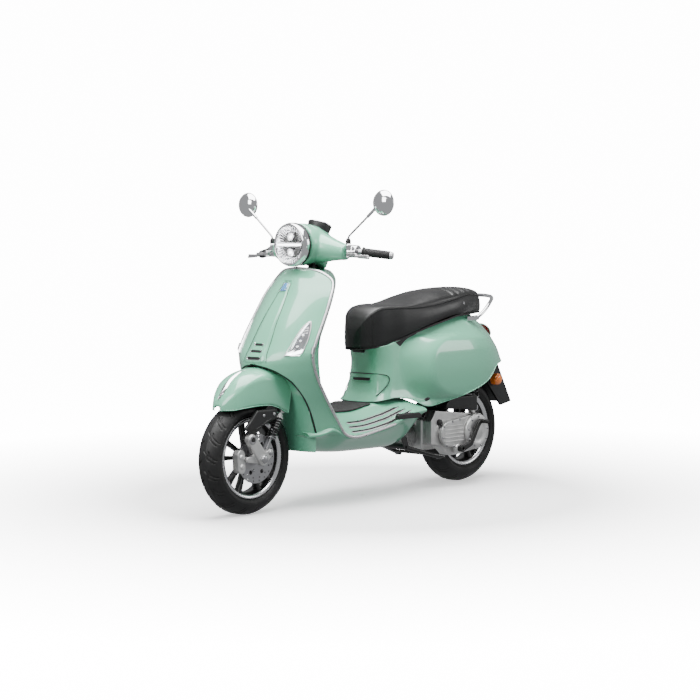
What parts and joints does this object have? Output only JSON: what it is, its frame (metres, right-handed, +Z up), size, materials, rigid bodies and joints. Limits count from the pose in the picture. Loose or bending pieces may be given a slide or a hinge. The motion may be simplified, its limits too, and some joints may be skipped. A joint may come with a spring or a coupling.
{
  "type": "moped scooter",
  "caption": "Step-through scooter with steel body, sprung front arm, swinging engine, hinged seat over a storage bin, folding stand and pegs.",
  "frame": {"origin": "on the ground under the middle of the overall box, both tyres on the ground", "axes": "+X forward, +Y to the rider's left, +Z up"},
  "size_m": [1.859, 0.878, 1.294],
  "materials": {
    "body_paint": "gloss",
    "satin_trim": "satin",
    "chrome_plate": "polished",
    "clear_lens": "clear",
    "amber_lens": "gloss",
    "red_lens": "gloss",
    "black_steel": "satin",
    "black_plastic": "matte",
    "black_rubber": "matte",
    "seat_leather": "fine grain",
    "cast_alloy": "cast",
    "rim_alloy": "satin",
    "tyre_rubber": "matte",
    "bare_steel": "brushed"
  },
  "bodies": {
    "frame": {"leg_shield": "body_paint", "shield_trim": "satin_trim", "horn_cover": "body_paint", "front_indicators": "clear_lens", "inner_shield": "body_paint", "inner_frame": "black_steel", "floor_pan": "body_paint", "floor_mat": "black_rubber", "floor_strips": "satin_trim", "rear_body": "body_paint", "storage_bin": "black_plastic", "access_door": "body_paint", "tail_lamp": "red_lens", "plate_holder": "black_plastic", "rear_indicators": "amber_lens", "grab_rail": "chrome_plate", "fuel_tank": "black_plastic"},
    "glovebox": {"glovebox_door": "body_paint"},
    "key": {"ignition_key": "bare_steel"},
    "seat": {"seat_base": "black_plastic", "seat_cushion": "seat_leather"},
    "peg_left": {"footpeg_left": "black_plastic"},
    "peg_right": {"footpeg_right": "black_plastic"},
    "stand": {"centre_stand": "black_steel"},
    "steering": {"fork": "black_steel", "fork_cover": "black_plastic", "front_fender": "body_paint", "headset_shell": "body_paint", "headlight_ring": "chrome_plate", "headlight_lens": "clear_lens", "instrument_cluster": "black_plastic", "handlebar": "bare_steel", "grip_left": "black_rubber", "switch_housings": "chrome_plate"},
    "throttle": {"throttle_grip": "black_rubber"},
    "lever_left": {"brake_lever_left": "chrome_plate"},
    "lever_right": {"brake_lever_right": "chrome_plate"},
    "left_mirror": {"mirror_left": "chrome_plate"},
    "right_mirror": {"mirror_right": "chrome_plate"},
    "horn_switch": {"horn_button": "black_plastic"},
    "starter_switch": {"starter_button": "black_plastic"},
    "front_link": {"front_arm": "cast_alloy", "brake_calliper": "cast_alloy"},
    "front_wheel": {"front_rim": "rim_alloy", "front_tyre": "tyre_rubber", "brake_disc": "bare_steel"},
    "front_damper_top": {"front_shock_body": "cast_alloy", "front_spring": "bare_steel"},
    "front_damper_foot": {"front_shock_rod": "bare_steel"},
    "engine": {"engine_case": "cast_alloy", "cvt_cover": "cast_alloy", "cylinder": "cast_alloy", "airbox": "black_plastic", "exhaust": "bare_steel"},
    "rear_wheel": {"rear_rim": "rim_alloy", "rear_tyre": "tyre_rubber"},
    "rear_damper_top": {"rear_shock_body": "bare_steel", "rear_spring": "bare_steel"},
    "rear_damper_foot": {"rear_shock_rod": "bare_steel"},
    "kick": {"kick_lever": "black_plastic"}
  },
  "joints": [
    {"name": "steering_turn", "type": "hinge", "parent": "frame", "child": "steering", "pos_m": [0.303, 0, 0.98], "axis": [-0.4384, 0, 0.8988], "range_deg": [-30, 30]},
    {"name": "front_arm_pivot", "type": "hinge", "parent": "steering", "child": "front_link", "pos_m": [0.762, 0.1, 0.312], "axis": [0, 1, 0], "range_deg": [-6, 14], "stiffness_Nm_per_rad": 100, "springref_deg": -11.46, "deforming": ["front_spring"]},
    {"name": "front_wheel_spin", "type": "hinge", "parent": "front_link", "child": "front_wheel", "pos_m": [0.7, 0, 0.2295], "axis": [0, 1, 0], "continuous": true},
    {"name": "front_damper_swing", "type": "hinge", "parent": "steering", "child": "front_damper_top", "pos_m": [0.565, 0.08, 0.416], "axis": [0, 1, 0], "range_deg": [-3, 3]},
    {"name": "front_damper_foot_swing", "type": "hinge", "parent": "front_link", "child": "front_damper_foot", "pos_m": [0.662, 0.08, 0.252], "axis": [0, 1, 0], "range_deg": [-20, 12]},
    {"name": "engine_swing", "type": "hinge", "parent": "frame", "child": "engine", "pos_m": [-0.25, 0, 0.33], "axis": [0, 1, 0], "range_deg": [-3, 6], "stiffness_Nm_per_rad": 1730, "springref_deg": -3.44, "deforming": ["rear_spring"]},
    {"name": "rear_wheel_spin", "type": "hinge", "parent": "engine", "child": "rear_wheel", "pos_m": [-0.634, 0, 0.2365], "axis": [0, 1, 0], "continuous": true},
    {"name": "rear_damper_swing", "type": "hinge", "parent": "frame", "child": "rear_damper_top", "pos_m": [-0.6, 0.1, 0.56], "axis": [0, 1, 0], "range_deg": [-3, 3]},
    {"name": "rear_damper_foot_swing", "type": "hinge", "parent": "engine", "child": "rear_damper_foot", "pos_m": [-0.64, 0.1, 0.335], "axis": [0, 1, 0], "range_deg": [-12, 8]},
    {"name": "kick_start", "type": "hinge", "parent": "engine", "child": "kick", "pos_m": [-0.455, 0.18, 0.172], "axis": [0, -1, 0], "range_deg": [0, 50], "stiffness_Nm_per_rad": 4, "springref_deg": -2.86},
    {"name": "stand_fold", "type": "hinge", "parent": "frame", "child": "stand", "pos_m": [-0.19, 0, 0.195], "axis": [0, -1, 0], "range_deg": [0, 74]},
    {"name": "seat_hinge", "type": "hinge", "parent": "frame", "child": "seat", "pos_m": [0.02, 0, 0.622], "axis": [0, 1, 0], "range_deg": [0, 65]},
    {"name": "glovebox_hinge", "type": "hinge", "parent": "frame", "child": "glovebox", "pos_m": [0.4005, 0, 0.598], "axis": [0, -1, 0], "range_deg": [0, 80]},
    {"name": "key_turn", "type": "hinge", "parent": "frame", "child": "key", "pos_m": [0.304, -0.07, 0.85], "axis": [1, 0, 0], "range_deg": [0, 90]},
    {"name": "peg_left_fold", "type": "hinge", "parent": "frame", "child": "peg_left", "pos_m": [-0.118, 0.214, 0.35], "axis": [0, 0, 1], "range_deg": [0, 90]},
    {"name": "peg_right_fold", "type": "hinge", "parent": "frame", "child": "peg_right", "pos_m": [-0.118, -0.214, 0.35], "axis": [0, 0, -1], "range_deg": [0, 90]},
    {"name": "throttle_turn", "type": "hinge", "parent": "steering", "child": "throttle", "pos_m": [0.284, -0.25, 1.047], "axis": [-0.4193, -0.8996, -0.122], "range_deg": [0, 75], "stiffness_Nm_per_rad": 0.3, "springref_deg": -2.86},
    {"name": "brake_left_squeeze", "type": "hinge", "parent": "steering", "child": "lever_left", "pos_m": [0.33, 0.232, 1.036], "axis": [0, 0, 1], "range_deg": [0, 16], "stiffness_Nm_per_rad": 3, "springref_deg": -1.15},
    {"name": "brake_right_squeeze", "type": "hinge", "parent": "steering", "child": "lever_right", "pos_m": [0.33, -0.232, 1.036], "axis": [0, 0, -1], "range_deg": [0, 16], "stiffness_Nm_per_rad": 3, "springref_deg": -1.15},
    {"name": "mirror_left_swivel", "type": "hinge", "parent": "steering", "child": "left_mirror", "pos_m": [0.315, 0.217, 1.09], "axis": [0, 0, 1], "range_deg": [-25, 25]},
    {"name": "mirror_right_swivel", "type": "hinge", "parent": "steering", "child": "right_mirror", "pos_m": [0.315, -0.217, 1.09], "axis": [0, 0, 1], "range_deg": [-25, 25]},
    {"name": "horn_press", "type": "slide", "parent": "steering", "child": "horn_switch", "axis": [1, 0, 0], "range_m": [0, 0.003], "stiffness_N_per_m": 600},
    {"name": "starter_press", "type": "slide", "parent": "steering", "child": "starter_switch", "axis": [1, 0, 0], "range_m": [0, 0.003], "stiffness_N_per_m": 600}
  ],
  "couplings": [
    {"joint": "front_damper_swing", "follows": "front_arm_pivot", "ratio": -0.06},
    {"joint": "front_damper_foot_swing", "follows": "front_arm_pivot", "ratio": -1.06},
    {"joint": "rear_damper_swing", "follows": "engine_swing", "ratio": 0.25},
    {"joint": "rear_damper_foot_swing", "follows": "engine_swing", "ratio": -0.75}
  ]
}
